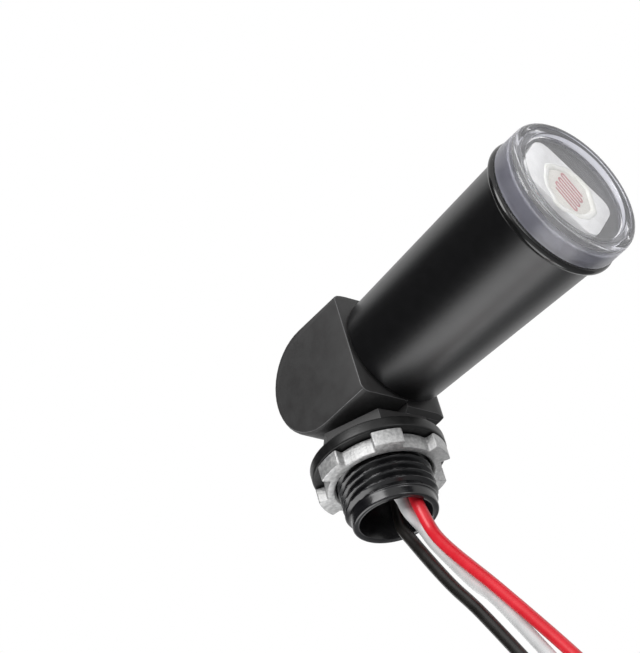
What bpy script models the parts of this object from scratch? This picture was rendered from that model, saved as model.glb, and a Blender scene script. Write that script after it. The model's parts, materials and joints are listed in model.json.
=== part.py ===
"""Swivel-mount photocell switch: a tapered tube with a lens cap on a two-part knuckle and a threaded stem.

Metres, +Z up. The stem hangs down on the Z axis and the origin is on the gasket's underside, where the
fitting meets the box that it is screwed into. The knuckle turns about X and the tube points along -Y.
"""
import math

import bmesh
import bpy
from mathutils import Matrix, Vector

MM = 0.001
CLEARANCE = 0.3 * MM
OVERRUN = 1.0 * MM

# Knuckle: two D-shaped halves that turn against each other about the X axis
KNUCKLE_HALF_WIDTH = 13.2 * MM
HEAD_RADIUS = 12.8 * MM
HEAD_FACE = 13.3 * MM
HEAD_RIM_FILLET = 1.7 * MM
HEAD_EDGE_FILLET = 0.35 * MM
STEM_STEP_IN = 0.35 * MM
STEM_RIM_FILLET = 4.4 * MM
CAVITY_RADIUS = 8.5 * MM
CHEEK_WALL = 2.05 * MM
SKIRT_DROP = 14.6 * MM
SKIRT_CHAMFER = 1.1 * MM
SKIRT_SIDE_CHAMFER = 3.0 * MM

# Stem, hexagon, gasket and locknut
HEX_ACROSS_FLATS = 22.4 * MM
HEX_HEIGHT = 3.25 * MM
HEX_TURN = math.radians(-4.5)
THREAD_RADIUS = 10.45 * MM
THREAD_END_RADIUS = 9.55 * MM
THREAD_END_LENGTH = 2.3 * MM
STEM_END = 13.75 * MM
STEM_BORE_RADIUS = 8.0 * MM
BORE_TOP = 4.6 * MM
SHAFT_WALL = 1.0 * MM
SHAFT_RADIUS = 7.4 * MM
GASKET_RADIUS = 15.0 * MM
GASKET_THICKNESS = 2.85 * MM
GASKET_LIP = 0.5 * MM
NUT_THICKNESS = 3.6 * MM
NUT_LUGS = 6
NUT_LUG_RADIUS = 14.9 * MM
NUT_RECESS_RADIUS = 12.7 * MM
NUT_LUG_ANGLE = math.radians(27.0)
NUT_TURN = math.radians(-5.0)
NUT_CHAMFER = 0.5 * MM
NUT_CORNER_ANGLE = math.radians(45.0)

# Pivot screw, its washer and the seal ring between the halves
SCREW_RADIUS = 1.4 * MM
SCREW_HEAD_RADIUS = 2.7 * MM
SCREW_HEAD_HEIGHT = 1.9 * MM
SCREW_SLOT_WIDTH = 0.9 * MM
SCREW_SLOT_DEPTH = 0.9 * MM
SCREW_LENGTH = 16.9 * MM
WASHER_THICKNESS = 0.8 * MM
PILOT_BOSS_WALL = 1.4 * MM
PILOT_FLOOR = 1.0 * MM
FUNNEL_REACH = 2.3 * MM
FUNNEL_NECK = 2.0 * MM
HEAD_BOSS_WALL = 1.0 * MM
SEAL_INNER_RADIUS = 9.9 * MM
SEAL_OUTER_RADIUS = 11.0 * MM
SEAL_THICKNESS = 0.7 * MM

# Tube with its floor at the knuckle and a reduced neck under the lens cap
TUBE_SPREAD = 2.35 * MM
TUBE_STEP_IN = 1.1 * MM
TUBE_LENGTH = 51.6 * MM
TUBE_WALL = 1.8 * MM
TUBE_FLOOR = 2.2 * MM
TUBE_EDGE_FILLET = 0.8 * MM
NECK_WALL = 1.4 * MM
NECK_LENGTH = 4.9 * MM
PASSAGE_MARGIN = 7.15 * MM
PASSAGE_RADIUS = 3.6 * MM
FUNNEL_RADIUS = 4.6 * MM
SPIGOT_WALL = 0.8 * MM
SPIGOT_LENGTH = 2.1 * MM

# Bead ring and clear cap over the tube's open end
BEAD_PROUD = 0.4 * MM
BEAD_HEIGHT = 2.1 * MM
CAP_RADIUS = 16.6 * MM
CAP_HEIGHT = 6.4 * MM
CAP_WALL = 1.7 * MM
CAP_EDGE_FILLET = 1.1 * MM
WINDOW_BEZEL = 3.2 * MM
WINDOW_RECESS = 1.2 * MM
WINDOW_THICKNESS = 1.4 * MM

# Holder and cell behind the window, turned about the tube
CORE_TURN = math.radians(-42.0)
CELL_RADIUS = 6.4 * MM
CELL_THICKNESS = 1.5 * MM
CELL_LEAD_RADIUS = 0.35 * MM
CELL_LEAD_SPACING = 3.0 * MM
CELL_LEAD_SIDE = 3.4 * MM
HOLDER_WIDTH = 14.2 * MM
HOLDER_LONG_END = 12.0 * MM
HOLDER_SHORT_END = 10.0 * MM
HOLDER_CORNER = 3.2 * MM
HOLDER_FLOOR = 0.9 * MM

# Moulded switch base: a board that stands on a foot across the tube
BOARD_THICKNESS = 1.6 * MM
BOARD_BACK = -0.1 * MM
BOARD_EDGE = 0.9 * MM
FOOT_ROOM = 1.1 * MM
FOOT_THICKNESS = 1.6 * MM

# Thermal switch on the board: places are (across the board, up the tube from the knuckle face)
STRIP_THICKNESS = 0.5 * MM
ARM_WIDTH = 4.6 * MM
ARM_THICKNESS = 0.4 * MM
ARM_STAND_OFF = 2.4 * MM
ARM_ROOT = (-4.6 * MM, 19.0 * MM)
ARM_LENGTH = 29.0 * MM
ARM_ROOT_MARGIN = 2.6 * MM
CONTACT_RADIUS = 1.5 * MM
LOAD_RIVET = (-4.6 * MM, 50.5 * MM)
NEUTRAL_RIVET = (5.4 * MM, 20.0 * MM)
TAG_WIDTH = 4.4 * MM
TAG_LENGTH = 5.2 * MM
RIVET_RADIUS = 0.8 * MM
RIVET_HEAD_RADIUS = 1.5 * MM
RIVET_HEAD_HEIGHT = 0.5 * MM
ARM_POST_RADIUS = 2.2 * MM
CALIBRATION_RISE = 9.0 * MM
HEATER_RADIUS = 2.0 * MM
HEATER_LENGTH = 11.0 * MM
HEATER_PLACE = (2.2 * MM, 30.0 * MM)
HEATER_LEAD_RADIUS = 0.35 * MM

# Leads: three insulated wires with stripped ends
LEAD_RADIUS = 1.4 * MM
LEAD_LENGTH = 150.0 * MM
COPPER_RADIUS = 0.75 * MM
STRIPPED_LENGTH = 10.0 * MM

ROUND_STEPS = 52
SMALL_STEPS = 20

# Radii and heights that follow from the sizes above
PIVOT_HEIGHT = GASKET_THICKNESS + CLEARANCE + HEX_HEIGHT + SKIRT_DROP
SKIRT_BOTTOM = PIVOT_HEIGHT - SKIRT_DROP
STEM_KNUCKLE_RADIUS = HEAD_RADIUS - STEM_STEP_IN
TUBE_LENS_RADIUS = CAP_RADIUS - TUBE_STEP_IN
TUBE_BASE_RADIUS = TUBE_LENS_RADIUS - TUBE_SPREAD
NECK_RADIUS = CAP_RADIUS - CAP_WALL - CLEARANCE
BEAD_RADIUS = CAP_RADIUS + BEAD_PROUD
WINDOW_RADIUS = CAP_RADIUS - WINDOW_BEZEL
PASSAGE_OFFSET = TUBE_BASE_RADIUS - PASSAGE_MARGIN
FOOT_RADIUS = TUBE_BASE_RADIUS - TUBE_WALL - FOOT_ROOM
BOARD_HALF_WIDTH = FOOT_RADIUS - BOARD_EDGE

# Places along the tube, from the knuckle's face, that follow from the sizes above
TUBE_START = CLEARANCE
TUBE_FLOOR_TOP = TUBE_START + TUBE_FLOOR
TUBE_END = TUBE_START + TUBE_LENGTH
BEAD_START = TUBE_END + CLEARANCE
CAP_START = BEAD_START + BEAD_HEIGHT + CLEARANCE
CAP_END = CAP_START + CAP_HEIGHT
WINDOW_BACK = CAP_END - WINDOW_RECESS - WINDOW_THICKNESS
NECK_END = TUBE_END + NECK_LENGTH
HOLDER_TOP = WINDOW_BACK - CLEARANCE
CELL_TOP = HOLDER_TOP - 0.2 * MM
CELL_BACK = CELL_TOP - CELL_THICKNESS
HOLDER_BACK = CELL_BACK - CLEARANCE - HOLDER_FLOOR
FOOT_START = TUBE_FLOOR_TOP + CLEARANCE
BOARD_END = HOLDER_BACK - CLEARANCE
BOARD_FRONT = BOARD_BACK + BOARD_THICKNESS
ARM_UNDERSIDE = BOARD_FRONT + ARM_STAND_OFF
STEM_HEX_BOTTOM = GASKET_THICKNESS + CLEARANCE
PILOT_BOSS_RADIUS = SCREW_RADIUS + CLEARANCE + PILOT_BOSS_WALL
HEAD_BOSS_RADIUS = SCREW_HEAD_RADIUS + CLEARANCE + HEAD_BOSS_WALL


def material(name, colour, roughness, metallic=0.0, transmission=0.0):
    made = bpy.data.materials.new(name)
    made.use_nodes = True
    shader = made.node_tree.nodes["Principled BSDF"]
    shader.inputs["Base Color"].default_value = (*colour, 1.0)
    shader.inputs["Roughness"].default_value = roughness
    shader.inputs["Metallic"].default_value = metallic
    shader.inputs["Transmission Weight"].default_value = transmission
    return made


def empty(name, parent=None, location=(0, 0, 0), rotation=(0, 0, 0)):
    made = bpy.data.objects.new(name, None)
    made.empty_display_size = 5 * MM
    made.location = location
    made.rotation_euler = rotation
    made.parent = parent
    bpy.context.collection.objects.link(made)
    return made


def finish(name, shape, surface, parent=None, sharp=math.radians(35)):
    """Turns a bmesh into a named object with outward faces, smooth where it is round."""
    bmesh.ops.remove_doubles(shape, verts=shape.verts, dist=1e-7)
    bmesh.ops.recalc_face_normals(shape, faces=shape.faces)
    mesh = bpy.data.meshes.new(name)
    shape.to_mesh(mesh)
    shape.free()
    mesh.materials.append(surface)
    mesh.shade_smooth()
    mesh.set_sharp_from_angle(angle=sharp)
    made = bpy.data.objects.new(name, mesh)
    made.parent = parent
    bpy.context.collection.objects.link(made)
    return made


def turned(profile, steps=ROUND_STEPS, centre=(0, 0)):
    """A solid of revolution about Z through centre; the profile's points are (radius, height), closed."""
    shape = bmesh.new()
    corners = [shape.verts.new((radius, 0, height)) for radius, height in profile]
    edges = [shape.edges.new(pair) for pair in zip(corners, corners[1:] + corners[:1]) if on_skin(pair)]
    bmesh.ops.spin(shape, geom=corners + edges, cent=(0, 0, 0), axis=(0, 0, 1), angle=2 * math.pi,
                   steps=steps, use_merge=True)
    bmesh.ops.remove_doubles(shape, verts=shape.verts, dist=1e-7)
    bmesh.ops.translate(shape, verts=shape.verts, vec=(*centre, 0))
    return shape


def on_skin(pair):
    """An edge that lies on the axis makes no surface."""
    return max(abs(corner.co.x) for corner in pair) > 1e-9


def fillet(centre, radius, start, end, steps=4):
    """Points of an arc between two angles, in degrees."""
    angles = [math.radians(start + (end - start) * i / steps) for i in range(steps + 1)]
    return [(centre[0] + radius * math.cos(a), centre[1] + radius * math.sin(a)) for a in angles]


def prism(outline, low, high):
    """An outline in X and Y, raised along Z from low to high."""
    shape = bmesh.new()
    face = shape.faces.new([shape.verts.new((x, y, low)) for x, y in outline])
    raised = bmesh.ops.extrude_face_region(shape, geom=[face])
    moved = [item for item in raised["geom"] if isinstance(item, bmesh.types.BMVert)]
    bmesh.ops.translate(shape, verts=moved, vec=(0, 0, high - low))
    return shape


def block(low, high):
    outline = [(low[0], low[1]), (high[0], low[1]), (high[0], high[1]), (low[0], high[1])]
    return prism(outline, low[2], high[2])


def rod(radius, low, high, centre=(0, 0), steps=SMALL_STEPS):
    return turned([(0, low), (radius, low), (radius, high), (0, high)], steps, centre)


def rounded_rectangle(low, high, corner):
    """Corner points of a rectangle with round corners, counter-clockwise."""
    centres = [(high[0] - corner, high[1] - corner), (low[0] + corner, high[1] - corner),
               (low[0] + corner, low[1] + corner), (high[0] - corner, low[1] + corner)]
    quarters = [fillet(centre, corner, 90 * i, 90 * i + 90) for i, centre in enumerate(centres)]
    return [point for quarter in quarters for point in quarter]


def along_x(shape):
    """Turns a shape made along Z so that it runs along +X: X to Y, Y to Z and Z to X."""
    turn = Matrix(((0, 0, 1), (1, 0, 0), (0, 1, 0)))
    bmesh.ops.rotate(shape, verts=shape.verts, cent=(0, 0, 0), matrix=turn)
    return shape


def across_board(shape):
    """Turns a shape made along Z so that it runs along +Y out of the board: X stays, Y to -Z and Z to Y."""
    turn = Matrix(((1, 0, 0), (0, 0, 1), (0, -1, 0)))
    bmesh.ops.rotate(shape, verts=shape.verts, cent=(0, 0, 0), matrix=turn)
    return shape


def bevel_edges(shape, chosen, width, segments=3):
    edges = [edge for edge in shape.edges if chosen(edge)]
    bmesh.ops.bevel(shape, geom=edges, offset=width, segments=segments, profile=0.5, affect="EDGES")


def combine(target, shape, operation, parent=None):
    """Adds a Boolean with a hidden tool object made from the shape."""
    tool = finish(target.name + "." + operation.lower(), shape, target.data.materials[0], parent)
    tool.hide_render = True
    tool.display_type = "WIRE"
    modifier = target.modifiers.new(operation.lower(), "BOOLEAN")
    modifier.operation = operation
    modifier.solver = "EXACT"
    modifier.object = tool
    return tool


def smooth_points(route, count):
    """A Catmull-Rom curve through the route, read at equal steps of its length."""
    ends = [2 * route[0] - route[1], *route, 2 * route[-1] - route[-2]]
    fine = []
    for a, b, c, d in zip(ends, ends[1:], ends[2:], ends[3:]):
        for i in range(24):
            t = i / 24
            fine.append(0.5 * (2 * b + (c - a) * t + (2 * a - 5 * b + 4 * c - d) * t * t
                               + (3 * b - a - 3 * c + d) * t * t * t))
    fine.append(route[-1].copy())
    lengths = [0.0]
    for here, there in zip(fine, fine[1:]):
        lengths.append(lengths[-1] + (there - here).length)
    read, k = [], 0
    for i in range(count):
        target = lengths[-1] * i / (count - 1)
        while k < len(fine) - 2 and lengths[k + 1] < target:
            k += 1
        share = (target - lengths[k]) / max(lengths[k + 1] - lengths[k], 1e-12)
        read.append(fine[k].lerp(fine[k + 1], share))
    return read


def cut_to_length(route, wanted):
    """Shortens or lengthens the route's last stretch so that its smooth curve has the wanted length."""
    for _ in range(8):
        points = smooth_points(route, 200)
        length = sum((b - a).length for a, b in zip(points, points[1:]))
        last = route[-1] - route[-2]
        route[-1] = route[-2] + last * ((last.length + wanted - length) / last.length)
    return route


def wire(name, route, radius, surface, parent=None, spacing=2.5):
    """A round wire along a smooth curve through the route."""
    points = smooth_points(route, 200)
    length = sum((b - a).length for a, b in zip(points, points[1:]))
    count = max(4, min(80, round(length / (2 * radius * spacing)) + 1))
    curve = bpy.data.curves.new(name, "CURVE")
    curve.dimensions = "3D"
    curve.bevel_depth = radius
    curve.bevel_resolution = 2
    curve.use_fill_caps = True
    spline = curve.splines.new("POLY")
    spline.points.add(count - 1)
    for point, place in zip(spline.points, smooth_points(route, count)):
        point.co = (*place, 1.0)
    curve.materials.append(surface)
    made = bpy.data.objects.new(name, curve)
    made.parent = parent
    bpy.context.collection.objects.link(made)
    return made


def vectors(points):
    return [Vector(point) * MM for point in points]


def half_outline(radius, flat, straight_end, steps=24):
    """Outline of a D in Y and Z about the pivot: flat at -Y, round at +Y."""
    arc = fillet((0, 0), radius, -90, 90, steps)
    return [(-flat, -radius), *arc, (-flat, radius)] if straight_end else arc


def make_swivel_head(axis, tube_axis, surface):
    """Left half of the knuckle: square towards the tube and round behind, open to the other half."""
    outer = KNUCKLE_HALF_WIDTH
    shape = along_x(prism(half_outline(HEAD_RADIUS, HEAD_FACE, True), -outer, -CLEARANCE / 2))
    rim = -outer + 1e-6
    front = -HEAD_FACE + 1e-6
    bevel_edges(shape, lambda e: all(v.co.x < rim for v in e.verts)
                and not all(v.co.y < front for v in e.verts), HEAD_RIM_FILLET, 4)
    bevel_edges(shape, lambda e: all(v.co.y < front for v in e.verts) and all(v.co.x < rim + HEAD_RIM_FILLET
                for v in e.verts), HEAD_EDGE_FILLET, 2)
    head = finish("swivel_head", shape, surface, axis)
    centre = (-PASSAGE_OFFSET, 0)
    combine(head, rod(PASSAGE_RADIUS + SPIGOT_WALL, -OVERRUN, SPIGOT_LENGTH, centre, 32), "UNION", tube_axis)
    inner = -outer + CHEEK_WALL
    ring = [(PILOT_BOSS_RADIUS, inner), (CAVITY_RADIUS, inner), (CAVITY_RADIUS, OVERRUN),
            (PILOT_BOSS_RADIUS, OVERRUN)]
    combine(head, along_x(turned(ring)), "DIFFERENCE", axis)
    pilot = rod(SCREW_RADIUS + CLEARANCE, inner + PILOT_FLOOR, OVERRUN)
    combine(head, along_x(pilot), "DIFFERENCE", axis)
    groove_floor = -CLEARANCE / 2 - SEAL_THICKNESS - CLEARANCE
    groove = [(SEAL_INNER_RADIUS - CLEARANCE, groove_floor), (SEAL_OUTER_RADIUS + CLEARANCE, groove_floor),
              (SEAL_OUTER_RADIUS + CLEARANCE, OVERRUN), (SEAL_INNER_RADIUS - CLEARANCE, OVERRUN)]
    combine(head, along_x(turned(groove)), "DIFFERENCE", axis)
    depth = HEAD_FACE - CAVITY_RADIUS
    funnel = [(0, -depth - FUNNEL_REACH), (FUNNEL_RADIUS, -depth - FUNNEL_REACH),
              (FUNNEL_RADIUS, -depth + CLEARANCE),
              (PASSAGE_RADIUS, -depth + FUNNEL_NECK), (PASSAGE_RADIUS, SPIGOT_LENGTH + OVERRUN),
              (0, SPIGOT_LENGTH + OVERRUN)]
    combine(head, turned(funnel, 32, centre), "DIFFERENCE", tube_axis)
    return head


def make_swivel_stem(surface):
    """Right half of the knuckle, round at its top, on a hexagon with a hollow threaded stem."""
    low, high = CLEARANCE / 2, KNUCKLE_HALF_WIDTH
    radius = STEM_KNUCKLE_RADIUS
    drop = SKIRT_BOTTOM - PIVOT_HEIGHT
    outline = [*fillet((0, 0), radius, 0, 180, 28), (-radius, drop), (radius, drop)]
    shape = along_x(prism(outline, low, high))
    bevel_edges(shape, lambda e: all(v.co.x > high - 1e-6 for v in e.verts)
                and not all(v.co.z < drop + 1e-6 for v in e.verts), STEM_RIM_FILLET, 5)
    bmesh.ops.translate(shape, verts=shape.verts, vec=(0, 0, PIVOT_HEIGHT))
    stem = finish("swivel_stem", shape, surface)
    reach = 40 * MM
    side = along_x(prism([(-reach, -reach), (reach, -reach), (reach, 0), (-reach, 0)], 0, reach))
    slant = Matrix.Rotation(math.radians(-45), 3, "Y")
    bmesh.ops.rotate(side, verts=side.verts, cent=(0, 0, 0), matrix=slant)
    bmesh.ops.translate(side, verts=side.verts, vec=(high - SKIRT_SIDE_CHAMFER, 0, SKIRT_BOTTOM))
    combine(stem, side, "DIFFERENCE")
    for way in (-1, 1):
        edge = block((-reach, 0, -reach), (reach, reach, 0))
        slant = Matrix.Rotation(math.radians(45), 3, "X")
        bmesh.ops.rotate(edge, verts=edge.verts, cent=(0, 0, 0), matrix=slant)
        if way < 0:
            bmesh.ops.scale(edge, verts=edge.verts, vec=(1, -1, 1))
        bmesh.ops.translate(edge, verts=edge.verts, vec=(0, way * (radius - SKIRT_CHAMFER), SKIRT_BOTTOM))
        combine(stem, edge, "DIFFERENCE")
    corner = HEX_ACROSS_FLATS / 2 / math.cos(math.radians(30))
    angles = [HEX_TURN + math.radians(60 * i) for i in range(6)]
    hexagon = [(corner * math.cos(angle), corner * math.sin(angle)) for angle in angles]
    overlap = 0.5 * MM
    combine(stem, prism(hexagon, STEM_HEX_BOTTOM, SKIRT_BOTTOM), "UNION")
    end = -STEM_END
    shoulder = end + THREAD_END_LENGTH
    taper = THREAD_RADIUS - THREAD_END_RADIUS
    pipe = [(0, STEM_HEX_BOTTOM + overlap), (THREAD_RADIUS, STEM_HEX_BOTTOM + overlap),
            (THREAD_RADIUS, shoulder),
            (THREAD_END_RADIUS, shoulder - taper / 2), (THREAD_END_RADIUS, end + GASKET_LIP),
            (THREAD_END_RADIUS - GASKET_LIP, end), (0, end)]
    combine(stem, turned(pipe[::-1]), "UNION")
    combine(stem, rod(STEM_BORE_RADIUS, end - OVERRUN, BORE_TOP, steps=48), "DIFFERENCE")
    wall = low + SHAFT_WALL
    spread = math.degrees(math.acos(wall / SHAFT_RADIUS))
    shaft = prism(fillet((0, 0), SHAFT_RADIUS, -spread, spread, 24), BORE_TOP - overlap,
                  PIVOT_HEIGHT - HEAD_BOSS_RADIUS - CLEARANCE)
    combine(stem, shaft, "DIFFERENCE")
    hub = empty("stem_hub", None, (0, 0, PIVOT_HEIGHT))
    inner = high - CHEEK_WALL
    ring = [(HEAD_BOSS_RADIUS, -OVERRUN), (CAVITY_RADIUS, -OVERRUN), (CAVITY_RADIUS, inner),
            (HEAD_BOSS_RADIUS, inner)]
    combine(stem, along_x(turned(ring)), "DIFFERENCE", hub)
    seat = high - SCREW_HEAD_HEIGHT - WASHER_THICKNESS - 3 * CLEARANCE
    hole = SCREW_RADIUS + CLEARANCE
    recess = SCREW_HEAD_RADIUS + CLEARANCE
    bore = [(0, -OVERRUN), (hole, -OVERRUN), (hole, seat), (recess, seat), (recess, high + OVERRUN),
            (0, high + OVERRUN)]
    combine(stem, along_x(turned(bore, SMALL_STEPS * 2)), "DIFFERENCE", hub)
    return stem


def make_pivot(axis, steel, rubber):
    seat = KNUCKLE_HALF_WIDTH - SCREW_HEAD_HEIGHT - WASHER_THICKNESS - 3 * CLEARANCE
    under = seat + WASHER_THICKNESS + 2 * CLEARANCE
    top = under + SCREW_HEAD_HEIGHT
    edge = 0.3 * MM
    profile = [(0, top - SCREW_LENGTH), (SCREW_RADIUS - edge, top - SCREW_LENGTH),
               (SCREW_RADIUS, top - SCREW_LENGTH + edge), (SCREW_RADIUS, under), (SCREW_HEAD_RADIUS, under),
               (SCREW_HEAD_RADIUS, top - edge), (SCREW_HEAD_RADIUS - edge, top), (0, top)]
    screw = finish("pivot_screw", along_x(turned(profile, SMALL_STEPS)), steel, axis)
    half = SCREW_SLOT_WIDTH / 2
    slot = block((top - SCREW_SLOT_DEPTH, -half, -SCREW_HEAD_RADIUS * 1.5),
                 (top + OVERRUN, half, SCREW_HEAD_RADIUS * 1.5))
    combine(screw, slot, "DIFFERENCE", axis)
    low = seat + CLEARANCE
    hole, high = SCREW_RADIUS + CLEARANCE, low + WASHER_THICKNESS
    washer = [(hole, low), (SCREW_HEAD_RADIUS, low), (SCREW_HEAD_RADIUS, high), (hole, high)]
    finish("pivot_lock_washer", along_x(turned(washer, SMALL_STEPS)), steel, axis)
    high = -CLEARANCE / 2
    low = high - SEAL_THICKNESS
    ring = [(SEAL_INNER_RADIUS, low), (SEAL_OUTER_RADIUS, low), (SEAL_OUTER_RADIUS, high),
            (SEAL_INNER_RADIUS, high)]
    finish("knuckle_seal", along_x(turned(ring, 48)), rubber, axis)


def make_gasket(rubber):
    inner = THREAD_RADIUS + CLEARANCE
    edge = GASKET_LIP
    profile = [(inner, 0), (GASKET_RADIUS - edge, 0), *fillet((GASKET_RADIUS - edge, edge), edge, -90, 0, 2),
               *fillet((GASKET_RADIUS - edge, GASKET_THICKNESS - edge), edge, 0, 90, 2),
               (inner, GASKET_THICKNESS)]
    finish("stem_gasket", turned(profile), rubber)


def make_locknut(zinc):
    """A ring with six square lugs and a chamfered bore."""
    low = -CLEARANCE - NUT_THICKNESS
    high = -CLEARANCE
    outline = []
    pitch = 2 * math.pi / NUT_LUGS
    for i in range(NUT_LUGS):
        middle = NUT_TURN + i * pitch
        start, end = middle - NUT_LUG_ANGLE / 2, middle + NUT_LUG_ANGLE / 2
        outline += [(NUT_LUG_RADIUS, start + (end - start) * k / 4) for k in range(5)]
        outline += [(NUT_RECESS_RADIUS, end + (pitch - NUT_LUG_ANGLE) * k / 4) for k in range(5)]
    points = [(radius * math.cos(angle), radius * math.sin(angle)) for radius, angle in outline]
    shape = prism(points, low, high)
    bevel_edges(shape, lambda e: abs(e.verts[0].co.z - e.verts[1].co.z) > 1e-5
                and e.calc_face_angle(0) > NUT_CORNER_ANGLE, NUT_CHAMFER / 2, 1)
    nut = finish("locknut", shape, zinc)
    bore = THREAD_RADIUS + CLEARANCE
    chamfer = NUT_CHAMFER
    cutter = [(0, low - OVERRUN), (bore + chamfer + OVERRUN, low - OVERRUN), (bore, low + chamfer),
              (bore, high - chamfer), (bore + chamfer + OVERRUN, high + OVERRUN), (0, high + OVERRUN)]
    combine(nut, turned(cutter), "DIFFERENCE")


def make_tube(tube_axis, surface):
    """A cup that widens towards the lens, with a neck that the bead ring and the cap fit over."""
    slope = (TUBE_LENS_RADIUS - TUBE_BASE_RADIUS) / TUBE_LENGTH
    edge = TUBE_EDGE_FILLET
    foot = TUBE_BASE_RADIUS - edge
    inner_base = TUBE_BASE_RADIUS + slope * TUBE_FLOOR - TUBE_WALL
    neck_inner = NECK_RADIUS - NECK_WALL
    lip = 0.3 * MM
    profile = [(0, TUBE_START), (foot, TUBE_START), *fillet((foot, TUBE_START + edge), edge, -90, 0, 4)[1:],
               (TUBE_LENS_RADIUS, TUBE_END - lip), (TUBE_LENS_RADIUS - lip, TUBE_END),
               (NECK_RADIUS, TUBE_END),
               (NECK_RADIUS, NECK_END - lip), (NECK_RADIUS - lip, NECK_END), (neck_inner, NECK_END),
               (neck_inner, TUBE_END), (inner_base, TUBE_FLOOR_TOP), (0, TUBE_FLOOR_TOP)]
    tube = finish("tube_housing", turned(profile), surface, tube_axis)
    radius = PASSAGE_RADIUS + SPIGOT_WALL + CLEARANCE
    hole = rod(radius, -OVERRUN, TUBE_FLOOR_TOP + OVERRUN, (-PASSAGE_OFFSET, 0), 32)
    combine(tube, hole, "DIFFERENCE", tube_axis)


def make_lens(tube_axis, clear, rubber):
    inner = NECK_RADIUS + CLEARANCE
    half = BEAD_HEIGHT / 2
    middle = BEAD_START + half
    bead = [(inner, BEAD_START), *fillet((BEAD_RADIUS - half, middle), half, -90, 90, 6),
            (inner, BEAD_START + BEAD_HEIGHT)]
    finish("lens_seal", turned(bead), rubber, tube_axis)
    edge = CAP_EDGE_FILLET
    bore = CAP_RADIUS - CAP_WALL
    pocket = NECK_END + CLEARANCE
    front = CAP_END - WINDOW_RECESS
    bevel = 0.25 * MM
    profile = [(0, WINDOW_BACK), (WINDOW_RADIUS, WINDOW_BACK), (bore, min(pocket, WINDOW_BACK)),
               (bore, CAP_START),
               (CAP_RADIUS, CAP_START), *fillet((CAP_RADIUS - edge, CAP_END - edge), edge, 0, 90, 4),
               (WINDOW_RADIUS + bevel, CAP_END), (WINDOW_RADIUS, CAP_END - bevel),
               (WINDOW_RADIUS - bevel, front), (0, front)]
    finish("lens_cap", turned(profile), clear, tube_axis)


def make_cell(core, white, ceramic, tinned):
    """The cell in its white holder, and its two legs."""
    outline = rounded_rectangle((-HOLDER_LONG_END, -HOLDER_WIDTH / 2), (HOLDER_SHORT_END, HOLDER_WIDTH / 2),
                                HOLDER_CORNER)
    holder = finish("cell_holder", prism(outline, HOLDER_BACK, HOLDER_TOP), white, core)
    pocket = rod(CELL_RADIUS + CLEARANCE, CELL_BACK - CLEARANCE, HOLDER_TOP + OVERRUN, steps=48)
    combine(holder, pocket, "DIFFERENCE", core)
    for way, name in ((-1, "cell_lead_line"), (1, "cell_lead_heater")):
        place = (way * CELL_LEAD_SPACING, CELL_LEAD_SIDE)
        hole = rod(CELL_LEAD_RADIUS + CLEARANCE, HOLDER_BACK - OVERRUN, HOLDER_TOP, place, 12)
        combine(holder, hole, "DIFFERENCE", core)
    edge = 0.3 * MM
    profile = [(0, CELL_BACK), (CELL_RADIUS, CELL_BACK), (CELL_RADIUS, CELL_TOP - edge),
               (CELL_RADIUS - edge, CELL_TOP), (0, CELL_TOP)]
    finish("light_cell", turned(profile, 48), ceramic, core)
    leg_top = CELL_BACK - CLEARANCE
    arm_edge = ARM_ROOT[0] - ARM_WIDTH / 2 - CLEARANCE - CELL_LEAD_RADIUS
    height = ARM_UNDERSIDE + ARM_THICKNESS / 2
    wire("cell_lead_line", [
        Vector((-CELL_LEAD_SPACING, CELL_LEAD_SIDE, leg_top)),
        Vector((-CELL_LEAD_SPACING, CELL_LEAD_SIDE, leg_top - 3 * MM)),
        Vector((arm_edge, height, leg_top - 8 * MM)),
        Vector((arm_edge, height, ARM_ROOT[1] + 12 * MM)),
        Vector((arm_edge, height, ARM_ROOT[1] - ARM_ROOT_MARGIN + OVERRUN)),
    ], CELL_LEAD_RADIUS, tinned, core, 5)
    heater_top = HEATER_PLACE[1] + HEATER_LENGTH + HEATER_LEAD_RADIUS
    heater_axis = BOARD_FRONT + CLEARANCE + HEATER_RADIUS
    wire("cell_lead_heater", [
        Vector((CELL_LEAD_SPACING, CELL_LEAD_SIDE, leg_top)),
        Vector((CELL_LEAD_SPACING, CELL_LEAD_SIDE, leg_top - 3 * MM)),
        Vector((HEATER_PLACE[0], heater_axis, heater_top + 6 * MM)),
        Vector((HEATER_PLACE[0], heater_axis, heater_top + 3 * MM)),
    ], CELL_LEAD_RADIUS, tinned, core, 4)


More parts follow.
